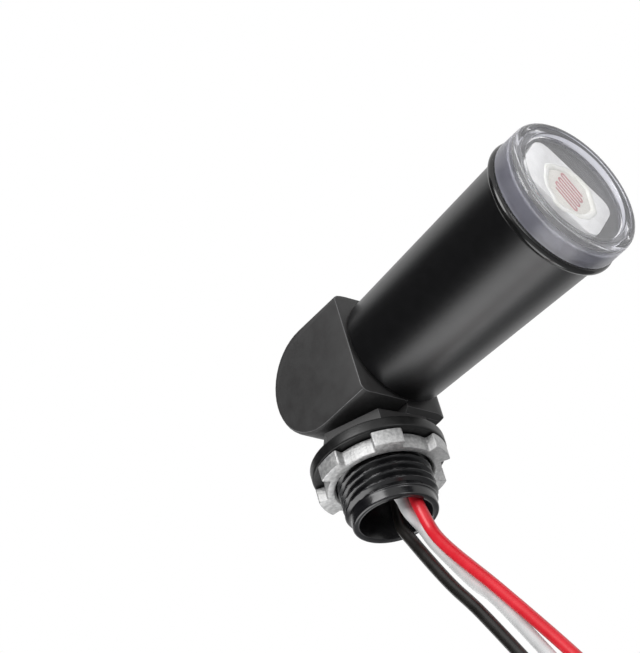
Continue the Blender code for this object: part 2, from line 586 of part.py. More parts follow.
def make_switch_base(core, phenolic):
    """One moulding: foot, board and the post that the arm is riveted to."""
    outline = fillet((0, 0), FOOT_RADIUS, 0, 360 - 360 / ROUND_STEPS, ROUND_STEPS - 1)
    base = finish("switch_base", prism(outline, FOOT_START, FOOT_START + FOOT_THICKNESS), phenolic, core)
    combine(base, block((-BOARD_HALF_WIDTH, BOARD_BACK, FOOT_START + FOOT_THICKNESS / 2),
                        (BOARD_HALF_WIDTH, BOARD_FRONT, BOARD_END)), "UNION", core)
    post = across_board(rod(ARM_POST_RADIUS, BOARD_BACK + BOARD_THICKNESS / 2, ARM_UNDERSIDE - CLEARANCE))
    bmesh.ops.translate(post, verts=post.verts, vec=(ARM_ROOT[0], 0, ARM_ROOT[1]))
    combine(base, post, "UNION", core)
    calibration = (ARM_ROOT[0], ARM_ROOT[1] + CALIBRATION_RISE)
    for place in (ARM_ROOT, LOAD_RIVET, NEUTRAL_RIVET, calibration):
        hole = across_board(rod(RIVET_RADIUS + CLEARANCE, BOARD_BACK - OVERRUN, ARM_UNDERSIDE + OVERRUN))
        bmesh.ops.translate(hole, verts=hole.verts, vec=(place[0], 0, place[1]))
        combine(base, hole, "DIFFERENCE", core)
    turn = Matrix.Rotation(-CORE_TURN, 3, "Z")
    centre = turn @ Vector((-PASSAGE_OFFSET, 0, 0))
    top = FOOT_START + FOOT_THICKNESS + CLEARANCE
    combine(base, rod(PASSAGE_RADIUS, FOOT_START - OVERRUN, top, centre[:2], 32), "DIFFERENCE", core)


def rivet(name, place, front, core, brass):
    """A rivet through the board, with a head behind it and another on the piece that it holds."""
    back = BOARD_BACK - CLEARANCE
    head = RIVET_HEAD_HEIGHT
    low = back - head
    high = front + CLEARANCE + head
    profile = [(0, low), (RIVET_HEAD_RADIUS, low), (RIVET_HEAD_RADIUS, back), (RIVET_RADIUS, back),
               (RIVET_RADIUS, high - head), (RIVET_HEAD_RADIUS, high - head), (RIVET_HEAD_RADIUS, high),
               (0, high)]
    shape = across_board(turned(profile, 16))
    bmesh.ops.translate(shape, verts=shape.verts, vec=(place[0], 0, place[1]))
    finish(name, shape, brass, core)


def strip(name, low, high, holes, core, metal):
    """A flat strip that stands off the board, with a hole for each rivet."""
    made = finish(name, block(low, high), metal, core)
    for place in holes:
        hole = across_board(rod(RIVET_RADIUS + CLEARANCE, low[1] - OVERRUN, high[1] + OVERRUN, steps=16))
        bmesh.ops.translate(hole, verts=hole.verts, vec=(place[0], 0, place[1]))
        combine(made, hole, "DIFFERENCE", core)
    return made


def contact(name, place, low, high, core, silver):
    shape = across_board(rod(CONTACT_RADIUS, low, high, steps=16))
    bmesh.ops.translate(shape, verts=shape.verts, vec=(place[0], 0, place[1]))
    finish(name, shape, silver, core)


def make_switch(core, brass, bimetal, silver, steel, ceramic, tinned):
    """Bimetal arm, contacts, terminals, heater and calibration screw."""
    half = ARM_WIDTH / 2
    arm_top = ARM_UNDERSIDE + ARM_THICKNESS
    tip = ARM_ROOT[1] + ARM_LENGTH
    strip("bimetal_arm", (ARM_ROOT[0] - half, ARM_UNDERSIDE, ARM_ROOT[1] - ARM_ROOT_MARGIN),
          (ARM_ROOT[0] + half, arm_top, tip), [ARM_ROOT], core, bimetal)
    rivet("line_rivet", ARM_ROOT, arm_top, core, brass)
    strip_low = BOARD_FRONT + CLEARANCE
    strip_top = strip_low + STRIP_THICKNESS
    tag = TAG_WIDTH / 2
    contact_place = (ARM_ROOT[0], tip - CONTACT_RADIUS - 0.6 * MM)
    strip("load_terminal", (LOAD_RIVET[0] - tag, strip_low, contact_place[1] - CONTACT_RADIUS - 0.6 * MM),
          (LOAD_RIVET[0] + tag, strip_top, LOAD_RIVET[1] + tag), [LOAD_RIVET], core, brass)
    rivet("load_rivet", LOAD_RIVET, strip_top, core, brass)
    middle = (strip_top + ARM_UNDERSIDE) / 2
    contact("fixed_contact", contact_place, strip_top + CLEARANCE, middle - CLEARANCE / 2, core, silver)
    contact("moving_contact", contact_place, middle + CLEARANCE / 2, ARM_UNDERSIDE - CLEARANCE, core, silver)
    strip("neutral_terminal", (NEUTRAL_RIVET[0] - tag, strip_low, NEUTRAL_RIVET[1] - tag),
          (NEUTRAL_RIVET[0] + tag, strip_top, NEUTRAL_RIVET[1] - tag + TAG_LENGTH), [NEUTRAL_RIVET], core,
          brass)
    rivet("neutral_rivet", NEUTRAL_RIVET, strip_top, core, brass)
    head = RIVET_HEAD_HEIGHT * 2
    back = BOARD_BACK - CLEARANCE
    profile = [(0, back - head), (RIVET_HEAD_RADIUS, back - head), (RIVET_HEAD_RADIUS, back),
               (RIVET_RADIUS, back),
               (RIVET_RADIUS, ARM_UNDERSIDE - CLEARANCE), (0, ARM_UNDERSIDE - CLEARANCE)]
    screw = across_board(turned(profile, 16))
    bmesh.ops.translate(screw, verts=screw.verts, vec=(ARM_ROOT[0], 0, ARM_ROOT[1] + CALIBRATION_RISE))
    finish("calibration_screw", screw, steel, core)
    height = BOARD_FRONT + CLEARANCE + HEATER_RADIUS
    low, high = HEATER_PLACE[1], HEATER_PLACE[1] + HEATER_LENGTH
    edge = 0.6 * MM
    profile = [(0, low), (HEATER_RADIUS - edge, low), (HEATER_RADIUS, low + edge),
               (HEATER_RADIUS, high - edge),
               (HEATER_RADIUS - edge, high), (0, high)]
    finish("heater_resistor", turned(profile, SMALL_STEPS, (HEATER_PLACE[0], height)), ceramic, core)
    lead = HEATER_LEAD_RADIUS
    wire("heater_lead_cell", [
        Vector((HEATER_PLACE[0], height, high + CLEARANCE)),
        Vector((HEATER_PLACE[0], height, high + lead + 3 * MM - CLEARANCE)),
    ], lead, tinned, core, 4)
    over_tag = strip_top + CLEARANCE + lead
    tag_top = NEUTRAL_RIVET[1] - tag + TAG_LENGTH
    wire("heater_lead_neutral", [
        Vector((HEATER_PLACE[0], height, low - CLEARANCE)),
        Vector((HEATER_PLACE[0] + 0.1 * MM, height, low - 1.5 * MM)),
        Vector((NEUTRAL_RIVET[0] - 1.2 * MM, over_tag + 0.2 * MM, tag_top + 1.4 * MM)),
        Vector((NEUTRAL_RIVET[0] - 1.0 * MM, over_tag, tag_top - 0.8 * MM)),
    ], lead, tinned, core, 4)


def make_leads(axis, insulation, copper):
    """Each lead is cut in the knuckle, where it crosses the joint; the outer length hangs from the stem."""
    head_routes = {
        "red": [(-1.35, -5.3, -2.8), (-2.7, -6.6, -0.2), (-4.3, -6.8, 2.0), (-6.0, -9.2, 2.0),
                (-6.0, -14.6, 1.85), (-6.1, -18.6, 2.0), (-7.5, -25.6, 4.1), (-7.5, -40.6, 4.1),
                (-7.2, -55.6, 3.8), (-5.6, -61.4, 1.7)],
        "white": [(-1.35, -2.82, -5.3), (-2.9, -4.0, -5.3), (-4.1, -5.7, -3.9), (-4.5, -8.5, -1.7),
                  (-4.4, -14.6, -0.95), (-4.3, -18.6, -1.1), (-1.4, -24.6, -4.0), (1.0, -29.6, -6.2),
                  (2.4, -31.6, -6.0)],
        "black": [(-1.35, 0.63, -5.97), (-4.6, -0.4, -6.5), (-7.2, -3.6, -5.4), (-7.6, -6.4, -2.7),
                  (-7.6, -9.0, -1.0), (-7.6, -14.6, -0.95), (-7.6, -18.6, -0.9), (-7.4, -23.6, -0.4),
                  (-6.4, -28.6, 0.4), (-5.4, -30.6, 0.9)],
    }
    knuckle_routes = {
        "red": [(1.35, -5.3, -2.8), (3.5, -5.1, -4.2), (3.75, -4.2, -8.3)],
        "white": [(1.35, -2.62, -5.42), (2.8, -1.5, -7.2), (3.2, -1.2, -11)],
        "black": [(1.35, 0.63, -5.97), (3, 1.7, -7.4), (3.9, 2.1, -11)],
    }
    stem_routes = {
        "red": [
            (3.4, -4.5, 5), (2.4, -5.1, -3), (1.2, -5.9, -9), (0.7, -6.2, -12.2), (1, -6.6, -15.9),
            (1.9, -7, -20.5), (1.7, -8.9, -24.9), (1.7, -11.8, -30.2), (1.6, -14.8, -35.1),
            (2.1, -20.2, -44.5), (3.6, -31.6, -66), (5.6, -41.8, -88), (7.6, -50.8, -110),
            (9.2, -58.6, -132),
        ],
        "white": [
            (2.9, -1.3, 4), (0.6, -1.9, -4), (-0.6, -2.9, -9), (0.1, -3.0, -10.5), (0.8, -3.2, -13.8),
            (3.3, -3.6, -17.8), (3.7, -5.1, -22.6), (3.9, -8.5, -29.8), (4.1, -12, -36.7),
            (3.8, -17.3, -45.1), (1.9, -29.8, -70), (3, -39, -91), (3.9, -47.2, -113), (4.5, -54.2, -135),
        ],
        "black": [
            (4.2, 2.3, 3), (4.2, 2.2, -4), (3.3, 1.8, -10), (1.6, 0.6, -15.2), (1.5, -1.3, -20),
            (1.1, -4, -25.9), (0.7, -6.8, -31.7), (0.6, -9.5, -37.2), (0.2, -15.4, -48),
            (-0.1, -18.6, -53), (-0.4, -27.6, -74), (-0.3, -36, -96), (0, -43.6, -118),
            (0.4, -50.4, -140),
        ],
    }
    for colour, surface in insulation.items():
        wire("inner_lead_" + colour, vectors(head_routes[colour]), LEAD_RADIUS, surface, axis, 1.0)
        above = [point + Vector((0, 0, PIVOT_HEIGHT)) for point in vectors(knuckle_routes[colour])]
        route = above + vectors(stem_routes[colour])
        inside = route[:6]
        hidden = sum((b - a).length for a, b in zip(inside, inside[1:]))
        route = cut_to_length(route, hidden + LEAD_LENGTH - STRIPPED_LENGTH)
        wire("lead_" + colour, route, LEAD_RADIUS, surface, spacing=1.5)
        way = (route[-1] - route[-2]).normalized()
        start = route[-1] + way * CLEARANCE
        end = start + way * (STRIPPED_LENGTH - CLEARANCE)
        wire("lead_end_" + colour, [start, end], COPPER_RADIUS, copper)


def main():
    for old in list(bpy.data.objects):
        bpy.data.objects.remove(old, do_unlink=True)
    satin_black = material("satin black plastic", (0.028, 0.028, 0.031), 0.36)
    matt_black = material("matt black plastic", (0.05, 0.05, 0.052), 0.6)
    thread_black = material("glossy black plastic", (0.02, 0.02, 0.022), 0.25)
    rubber = material("black rubber", (0.03, 0.03, 0.031), 0.5)
    zinc = material("cast zinc", (0.62, 0.62, 0.61), 0.42, 1.0)
    steel = material("plated steel", (0.6, 0.59, 0.56), 0.35, 1.0)
    clear = material("clear lens", (0.9, 0.9, 0.94), 0.08, 0.0, 0.9)
    white = material("white holder plastic", (0.86, 0.86, 0.84), 0.5)
    ceramic = material("cream ceramic", (0.75, 0.72, 0.66), 0.6)
    phenolic = material("phenolic moulding", (0.16, 0.13, 0.11), 0.55)
    brass = material("brass", (0.72, 0.55, 0.27), 0.35, 1.0)
    bimetal = material("bimetal strip", (0.63, 0.6, 0.57), 0.4, 1.0)
    silver = material("silver contact", (0.8, 0.8, 0.79), 0.3, 1.0)
    tinned = material("tinned wire", (0.7, 0.7, 0.69), 0.35, 1.0)
    copper = material("bare copper", (0.72, 0.38, 0.22), 0.35, 1.0)
    insulation = {
        "red": material("red insulation", (0.68, 0.02, 0.04), 0.35),
        "white": material("white insulation", (0.72, 0.72, 0.74), 0.35),
        "black": material("black insulation", (0.015, 0.014, 0.013), 0.35),
    }
    head_axis = empty("head_axis", None, (0, 0, PIVOT_HEIGHT))
    tube_axis = empty("tube_axis", head_axis, (0, -HEAD_FACE, 0), (math.radians(90), 0, 0))
    core = empty("core_axis", tube_axis, (0, 0, 0), (0, 0, CORE_TURN))
    make_swivel_head(head_axis, tube_axis, matt_black)
    make_swivel_stem(thread_black)
    make_pivot(head_axis, steel, rubber)
    make_gasket(rubber)
    make_locknut(zinc)
    make_tube(tube_axis, satin_black)
    make_lens(tube_axis, clear, rubber)
    make_cell(core, white, ceramic, tinned)
    make_switch_base(core, phenolic)
    make_switch(core, brass, bimetal, silver, steel, ceramic, tinned)
    make_leads(head_axis, insulation, copper)


main()
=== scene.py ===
"""The looks of the swivel-mount photocell switch: a satin black tube with a clear lens cap, a matt
two-part knuckle, a hollow threaded stem with its gasket and cast locknut, and three wire leads.
"""
import json
import math

import bpy
from mathutils import Matrix, Vector

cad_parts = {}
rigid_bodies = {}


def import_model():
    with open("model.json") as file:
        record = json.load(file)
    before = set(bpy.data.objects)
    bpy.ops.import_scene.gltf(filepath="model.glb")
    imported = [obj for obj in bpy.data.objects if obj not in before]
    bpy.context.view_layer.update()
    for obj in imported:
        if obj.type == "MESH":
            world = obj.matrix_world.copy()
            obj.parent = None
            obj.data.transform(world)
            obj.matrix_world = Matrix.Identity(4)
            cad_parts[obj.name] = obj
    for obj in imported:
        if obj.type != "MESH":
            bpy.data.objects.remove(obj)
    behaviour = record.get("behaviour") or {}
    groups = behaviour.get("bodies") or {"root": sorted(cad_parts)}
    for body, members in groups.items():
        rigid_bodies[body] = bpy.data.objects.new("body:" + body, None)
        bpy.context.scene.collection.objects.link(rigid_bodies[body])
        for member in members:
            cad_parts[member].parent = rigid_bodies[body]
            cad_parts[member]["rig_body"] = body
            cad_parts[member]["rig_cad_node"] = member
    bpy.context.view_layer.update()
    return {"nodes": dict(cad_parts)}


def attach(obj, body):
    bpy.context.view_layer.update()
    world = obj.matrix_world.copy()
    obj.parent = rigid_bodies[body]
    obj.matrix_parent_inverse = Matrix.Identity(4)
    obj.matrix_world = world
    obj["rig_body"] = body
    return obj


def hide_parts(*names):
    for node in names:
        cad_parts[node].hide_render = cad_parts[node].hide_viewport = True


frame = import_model()

MM = 0.001


# ---------------------------------------------------------------- camera

CAMERA_PLACE = (-0.45513, -0.40447, -0.36533)
CAMERA_RIGHT = (0.75936, -0.60410, -0.24174)
CAMERA_UP = (-0.19953, -0.56982, 0.79718)
CAMERA_BACK = (-0.61932, -0.55712, -0.55323)
CAMERA_LENS = 181.93
CAMERA_SENSOR = 36.0
CAMERA_REACH = (0.01, 20.0)


def set_camera():
    data = bpy.data.cameras.new("studio_camera")
    data.lens = CAMERA_LENS
    data.sensor_width = CAMERA_SENSOR
    data.sensor_fit = "AUTO"
    data.clip_start, data.clip_end = CAMERA_REACH
    camera = bpy.data.objects.new("studio_camera", data)
    bpy.context.scene.collection.objects.link(camera)
    turn = Matrix((CAMERA_RIGHT, CAMERA_UP, CAMERA_BACK)).transposed().to_4x4()
    camera.matrix_world = Matrix.Translation(CAMERA_PLACE) @ turn
    bpy.context.scene.camera = camera


set_camera()


# ---------------------------------------------------------------- places and sizes, in millimetres

PIVOT_HEIGHT = 21.0
HEAD_FACE = 13.3
CELL_TURN = -42
STEM_AXIS = Matrix.Identity(4)
TUBE_AXIS = (Matrix.Translation((0, -HEAD_FACE * MM, PIVOT_HEIGHT * MM))
             @ Matrix.Rotation(math.radians(90), 4, "X"))
CELL_AXIS = TUBE_AXIS @ Matrix.Rotation(math.radians(CELL_TURN), 4, "Z")

TUBE_BASE_RADIUS = 13.15
TUBE_LENS_RADIUS = 15.5
TUBE_START = 0.3
TUBE_END = 51.9
NECK_RADIUS = 14.93
NECK_END = 58.15
CAP_RADIUS = 16.6
CAP_START = 54.6
CAP_END = 61.0
WINDOW_RADIUS = 13.4
WINDOW_BACK = 58.4
WINDOW_FRONT = 59.8
HEX_BOTTOM = 3.15
STEM_END = -13.75
STEM_BORE = 8.0
THREAD_PITCH = 1.814
THREAD_CREST = 10.45
THREAD_ROOT = 9.3
THREAD_STOP = -11.45
END_RING_RADIUS = 9.55


# ---------------------------------------------------------------- finishes

MOTTLE_ENDS = (0.36, 0.66)
MOTTLE_DETAIL = 4.0
GRAIN_DETAIL = 2.0
GRAIN_DEPTH = 0.5
GLOSS_ENDS = (0.3, 0.7)
NOISE_ROUGHNESS = 0.55


def link_noise(tree, place, size, detail):
    """Noise whose grains are about size millimetres across."""
    noise = tree.nodes.new("ShaderNodeTexNoise")
    noise.inputs["Scale"].default_value = 1.0 / (size * MM)
    noise.inputs["Detail"].default_value = detail
    noise.inputs["Roughness"].default_value = NOISE_ROUGHNESS
    tree.links.new(place, noise.inputs["Vector"])
    return noise.outputs["Fac"]


def surface(name, dark, light, rough, mottle, grain, bump, metallic=0.0, stretch=(1, 1, 1),
            **sockets):
    """Mottled colour, uneven gloss and a grained skin, all in the object's own coordinates.

    Mottle and grain are the sizes of patches and grains in millimetres, bump is how strongly the
    grain shows, and sockets are the shader's other sockets, with an underscore for each space.
    """
    made = bpy.data.materials.new(name)
    made.use_nodes = True
    tree = made.node_tree
    nodes, links = tree.nodes, tree.links
    shader = nodes["Principled BSDF"]
    shader.inputs["Metallic"].default_value = metallic
    for socket, value in sockets.items():
        shader.inputs[socket.replace("_", " ")].default_value = value
    source = nodes.new("ShaderNodeTexCoord")
    mapping = nodes.new("ShaderNodeMapping")
    mapping.inputs["Scale"].default_value = stretch
    links.new(source.outputs["Object"], mapping.inputs["Vector"])
    place = mapping.outputs["Vector"]
    patches = link_noise(tree, place, mottle, MOTTLE_DETAIL)
    ramp = nodes.new("ShaderNodeValToRGB")
    for stop, position, colour in zip(ramp.color_ramp.elements, MOTTLE_ENDS, (dark, light)):
        stop.position = position
        stop.color = (*colour, 1.0)
    links.new(patches, ramp.inputs["Fac"])
    links.new(ramp.outputs["Color"], shader.inputs["Base Color"])
    skin = link_noise(tree, place, grain, GRAIN_DETAIL)
    gloss = nodes.new("ShaderNodeMapRange")
    for socket, value in zip(("From Min", "From Max", "To Min", "To Max"), (*GLOSS_ENDS, *rough)):
        gloss.inputs[socket].default_value = value
    links.new(patches, gloss.inputs["Value"])
    links.new(gloss.outputs["Result"], shader.inputs["Roughness"])
    relief = nodes.new("ShaderNodeBump")
    relief.inputs["Strength"].default_value = bump
    relief.inputs["Distance"].default_value = grain * MM * GRAIN_DEPTH
    links.new(skin, relief.inputs["Height"])
    links.new(relief.outputs["Normal"], shader.inputs["Normal"])
    return made


FINISHES = {
    "tube_plastic": surface(
        "satin_black_plastic", (0.0018, 0.0018, 0.0022), (0.0024, 0.0024, 0.0029), (0.37, 0.39),
        mottle=2.6, grain=0.9, bump=0.02),
    "neck_plastic": surface(
        "cemented_neck", (0.045, 0.045, 0.052), (0.07, 0.07, 0.08), (0.45, 0.6),
        mottle=2.5, grain=0.8, bump=0.08),
    "knuckle_plastic": surface(
        "matt_black_plastic", (0.033, 0.032, 0.032), (0.038, 0.0375, 0.0375), (0.46, 0.56),
        mottle=3.0, grain=0.3, bump=0.10, Specular_IOR_Level=0.35),
    # Lighter, glossier bevel strips on the knuckle: a painted highlight along its edges, not wear.
    "painted_edge_highlight": surface(
        "painted_edge_highlight", (0.10, 0.10, 0.102), (0.17, 0.17, 0.173), (0.3, 0.4),
        mottle=2.0, grain=0.5, bump=0.05),
    "thread_plastic": surface(
        "glossy_black_plastic", (0.006, 0.006, 0.007), (0.010, 0.010, 0.011), (0.18, 0.26),
        mottle=1.6, grain=0.5, bump=0.04),
    "rubber": surface(
        "black_rubber", (0.004, 0.004, 0.004), (0.008, 0.008, 0.008), (0.34, 0.44),
        mottle=1.4, grain=0.5, bump=0.08, Specular_IOR_Level=0.35),
    "moulded_rubber": surface(
        "moulded_rubber", (0.006, 0.006, 0.006), (0.010, 0.010, 0.010), (0.14, 0.22),
        mottle=2.0, grain=0.8, bump=0.03),
    "zinc": surface(
        "cast_zinc", (0.36, 0.36, 0.36), (0.54, 0.54, 0.535), (0.42, 0.58),
        mottle=0.7, grain=0.34, bump=0.6, metallic=0.7),
    "steel": surface(
        "plated_steel", (0.46, 0.46, 0.44), (0.62, 0.61, 0.58), (0.24, 0.42),
        mottle=0.8, grain=0.15, bump=0.15, metallic=1.0),
    "lens": surface(
        "clear_lens_plastic", (0.85, 0.85, 0.87), (0.88, 0.88, 0.90), (0.01, 0.03),
        mottle=5.0, grain=4.0, bump=0.01, Transmission_Weight=0.93, IOR=1.49),
    # The side faces have a rougher ground finish; their darker violet colour is painted, standing
    # in for the grey-violet band of light along the side wall.
    "lens_side": surface(
        "ground_lens_side_painted_violet", (0.56, 0.56, 0.66), (0.62, 0.62, 0.71), (0.28, 0.34),
        mottle=5.0, grain=2.0, bump=0.01, Transmission_Weight=0.93, IOR=1.49,
        Specular_IOR_Level=0.3),
    "holder_plastic": surface(
        "white_moulding", (0.78, 0.78, 0.76), (0.86, 0.86, 0.84), (0.38, 0.5),
        mottle=2.0, grain=0.3, bump=0.06),
    "cell_ceramic": surface(
        "cream_ceramic", (0.70, 0.68, 0.61), (0.80, 0.78, 0.71), (0.45, 0.6),
        mottle=0.7, grain=0.12, bump=0.2),
    "glue": surface(
        "set_glue", (0.80, 0.80, 0.72), (0.88, 0.88, 0.84), (0.12, 0.25),
        mottle=1.8, grain=0.9, bump=0.2),
    "track": surface(
        "cell_track", (0.42, 0.10, 0.11), (0.52, 0.15, 0.16), (0.4, 0.55),
        mottle=0.9, grain=0.3, bump=0.1),
    "phenolic": surface(
        "brown_phenolic", (0.10, 0.075, 0.06), (0.17, 0.13, 0.10), (0.4, 0.55),
        mottle=0.8, grain=0.2, bump=0.15),
    "brass": surface(
        "brass_strip", (0.60, 0.43, 0.18), (0.76, 0.58, 0.29), (0.24, 0.4),
        mottle=1.4, grain=0.2, bump=0.1, metallic=1.0),
    "bimetal": surface(
        "rolled_bimetal", (0.52, 0.49, 0.46), (0.66, 0.63, 0.60), (0.28, 0.42),
        mottle=1.4, grain=0.16, bump=0.14, metallic=1.0, stretch=(6, 1, 6)),
    "silver": surface(
        "silver_contact", (0.72, 0.72, 0.71), (0.84, 0.84, 0.82), (0.22, 0.36),
        mottle=0.6, grain=0.12, bump=0.1, metallic=1.0),
    "tinned_wire": surface(
        "tinned_wire", (0.60, 0.60, 0.59), (0.74, 0.74, 0.73), (0.25, 0.4),
        mottle=0.6, grain=0.15, bump=0.12, metallic=1.0),
    "copper": surface(
        "bare_copper", (0.62, 0.29, 0.15), (0.80, 0.43, 0.26), (0.26, 0.42),
        mottle=0.7, grain=0.14, bump=0.12, metallic=1.0),
    "red_insulation": surface(
        "red_insulation", (0.62, 0.012, 0.022), (0.72, 0.02, 0.035), (0.3, 0.4),
        mottle=6.0, grain=2.0, bump=0.04),
    "white_insulation": surface(
        "white_insulation", (0.60, 0.60, 0.60), (0.68, 0.68, 0.68), (0.32, 0.42),
        mottle=6.0, grain=2.0, bump=0.04),
    "black_insulation": surface(
        "black_insulation", (0.010, 0.009, 0.008), (0.016, 0.014, 0.013), (0.3, 0.4),
        mottle=6.0, grain=2.0, bump=0.04),
}


def dress(piece, *finishes):
    """Gives the piece its finishes, the first one to all of it."""
    piece.data.materials.clear()
    for finish in finishes:
        piece.data.materials.append(FINISHES[finish])


# ---------------------------------------------------------------- modelling by hand

SEAM = 0.002
SLIVER = 0.001
FLAT_FACE_ANGLE = 0.6


def deselect():
    bpy.ops.object.select_all(action="DESELECT")


def pick(piece):
    deselect()
    piece.select_set(True)
    bpy.context.view_layer.objects.active = piece


def edit(piece):
    """Opens the piece in edit mode with all of it selected."""
    pick(piece)
    bpy.ops.object.mode_set(mode="EDIT")
    bpy.ops.mesh.select_mode(type="VERT")
    bpy.ops.mesh.select_all(action="SELECT")


def leave():
    bpy.ops.object.mode_set(mode="OBJECT")


def second_finish(piece, wanted):
    """Gives the faces that wanted(centre in millimetres) picks the piece's second finish."""
    for face in piece.data.polygons:
        if wanted(face.center / MM):
            face.material_index = 1


def turn_outwards():
    """Turns all faces of the mesh in edit mode outwards and leaves it."""
    bpy.ops.mesh.select_all(action="SELECT")
    bpy.ops.mesh.normals_make_consistent(inside=False)
    leave()


def settle(piece, place, angle=35):
    """Puts the piece at its place, leaves that place in its mesh and smooths its round faces."""
    pick(piece)
    piece.matrix_world = place
    bpy.ops.object.transform_apply(location=True, rotation=True, scale=True)
    bpy.ops.object.shade_smooth_by_angle(angle=math.radians(angle))


def apply_modifier(piece, kind, **settings):
    pick(piece)
    modifier = piece.modifiers.new(kind.lower(), kind)
    for name, value in settings.items():
        setattr(modifier, name, value)
    bpy.ops.object.modifier_apply(modifier=modifier.name)


def drop_slivers(piece):
    edit(piece)
    bpy.ops.mesh.remove_doubles(threshold=SLIVER * MM)
    bpy.ops.mesh.dissolve_degenerate(threshold=SLIVER * MM)
    leave()


def soften(piece, width, segments=3, angle=35, slot=-1):
    """Rounds every sharp edge by width millimetres; the new faces may take a slot of their own."""
    apply_modifier(piece, "BEVEL", width=width * MM, segments=segments, limit_method="ANGLE",
                   angle_limit=math.radians(angle), use_clamp_overlap=True, material=slot)
    drop_slivers(piece)


def spun(name, profile, sides):
    """Spins a profile of (radius, height) points about Z; its points are drawn out one by one."""
    deselect()
    bpy.ops.mesh.primitive_plane_add(size=MM, location=(0, 0, 0))
    piece = bpy.context.object
    piece.name = name
    bpy.ops.object.mode_set(mode="EDIT")
    bpy.ops.mesh.select_mode(type="VERT")
    bpy.ops.mesh.select_all(action="SELECT")
    bpy.ops.mesh.merge(type="CENTER")
    bpy.ops.transform.translate(value=(profile[0][0] * MM, 0, profile[0][1] * MM))
    for here, there in zip(profile, profile[1:]):
        step = ((there[0] - here[0]) * MM, 0, (there[1] - here[1]) * MM)
        bpy.ops.mesh.extrude_vertices_move(TRANSFORM_OT_translate={"value": step})
    bpy.ops.mesh.select_all(action="SELECT")
    bpy.ops.mesh.spin(steps=sides, angle=2 * math.pi, center=(0, 0, 0), axis=(0, 0, 1))
    bpy.ops.mesh.select_all(action="SELECT")
    bpy.ops.mesh.remove_doubles(threshold=SEAM * MM)
    turn_outwards()
    return piece


def arc(centre, radius, start, end, steps=6):
    """Points of an arc between two angles, in degrees."""
    angles = [math.radians(start + (end - start) * i / steps) for i in range(steps + 1)]
    return [(centre[0] + radius * math.cos(a), centre[1] + radius * math.sin(a)) for a in angles]


def copy_of(node, name):
    """A merged copy of a CAD node, with its flat faces whole again."""
    piece = frame["nodes"][node].copy()
    piece.data = piece.data.copy()
    piece.name = name
    piece.parent = None
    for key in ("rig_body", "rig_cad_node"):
        del piece[key]
    bpy.context.scene.collection.objects.link(piece)
    edit(piece)
    bpy.ops.mesh.customdata_custom_splitnormals_clear()
    bpy.ops.mesh.remove_doubles(threshold=SEAM * MM)
    bpy.ops.mesh.dissolve_limited(angle_limit=math.radians(FLAT_FACE_ANGLE))
    leave()
    return piece


def belongs(piece, body, finish, *nodes):
    """The piece's finish, unless it has one, the body it moves with and the nodes it stands for."""
    if finish:
        dress(piece, finish)
    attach(piece, body)
    if nodes:
        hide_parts(*nodes)
    return piece


# ---------------------------------------------------------------- tube, bead ring and clear cap

ROUND_SIDES = 160
TUBE_WALL = 1.7
TUBE_FLOOR = 2.2
FOOT_EDGE = 0.8
LIP_EDGE = 0.35
LIP_PLACE = TUBE_END - 0.45
LIP_TAPER_RADIUS = TUBE_LENS_RADIUS - 0.02
FLOOR_EDGE = 0.5
NECK_FACES_FROM = TUBE_END + 0.02
NECK_WALL = 1.4
NECK_EDGE = 0.3
NECK_BORE_EDGE = 0.2
FINE_STEP = 0.05
PASSAGE_SIDES = 48
PASSAGE_RADIUS = 4.7
PASSAGE_DEPTH = 6
PASSAGE_PLACE = -6.0
PASSAGE_TURN = 0.031
BEAD_RADIUS = 17.0
BEAD_FLANK = 15.8
BEAD_GAP = 0.3
CAP_EDGE = 1.1
CAP_WALL = 1.7
CAP_CHAMFER = 0.15
CAP_SIDE_FROM = CAP_START + 0.5
GROOVE_PLACE = 14.75
GROOVE_RADIUS = 0.28
RECESS_EDGE = 0.3
WINDOW_EDGE = 0.2


def make_tube():
    foot = TUBE_BASE_RADIUS - FOOT_EDGE
    lip = TUBE_LENS_RADIUS - LIP_EDGE
    inside = TUBE_BASE_RADIUS - TUBE_WALL
    bore = NECK_RADIUS - NECK_WALL
    floor = TUBE_START + TUBE_FLOOR
    profile = [
        (0, TUBE_START), (foot, TUBE_START),
        *arc((foot, TUBE_START + FOOT_EDGE), FOOT_EDGE, -90, 0)[1:],
        (LIP_TAPER_RADIUS, LIP_PLACE), *arc((lip, TUBE_END - LIP_EDGE), LIP_EDGE, 0, 90),
        (NECK_RADIUS + FINE_STEP, TUBE_END), (NECK_RADIUS, TUBE_END + FINE_STEP),
        (NECK_RADIUS, NECK_END - NECK_EDGE), (NECK_RADIUS - NECK_EDGE, NECK_END),
        (bore + NECK_BORE_EDGE, NECK_END), (bore, NECK_END - NECK_BORE_EDGE), (bore, TUBE_END),
        (inside, floor + FLOOR_EDGE), (inside - FLOOR_EDGE, floor), (0, floor),
    ]
    tube = spun("tube", profile, ROUND_SIDES)
    bpy.ops.mesh.primitive_cylinder_add(
        vertices=PASSAGE_SIDES, radius=PASSAGE_RADIUS * MM, depth=PASSAGE_DEPTH * MM,
        location=(PASSAGE_PLACE * MM, 0, 0), rotation=(0, 0, PASSAGE_TURN))
    passage = bpy.context.object
    apply_modifier(tube, "BOOLEAN", operation="DIFFERENCE", solver="EXACT", object=passage)
    bpy.data.objects.remove(passage)
    drop_slivers(tube)
    dress(tube, "tube_plastic", "neck_plastic")
    second_finish(tube, lambda centre: centre.z > NECK_FACES_FROM)
    belongs(tube, "head", None, "tube_housing")
    settle(tube, TUBE_AXIS)


def make_bead_ring():
    inner, low, high = NECK_RADIUS + FINE_STEP, TUBE_END + BEAD_GAP, CAP_START - BEAD_GAP
    half = (high - low) / 2
    profile = [
        (inner, low), (BEAD_FLANK, low), *arc((BEAD_RADIUS - half, low + half), half, -90, 90, 16),
        (BEAD_FLANK, high), (inner, high), (inner, low),
    ]
    ring = spun("bead_ring", profile, ROUND_SIDES)
    settle(ring, TUBE_AXIS, 50)
    belongs(ring, "head", "moulded_rubber", "lens_seal")


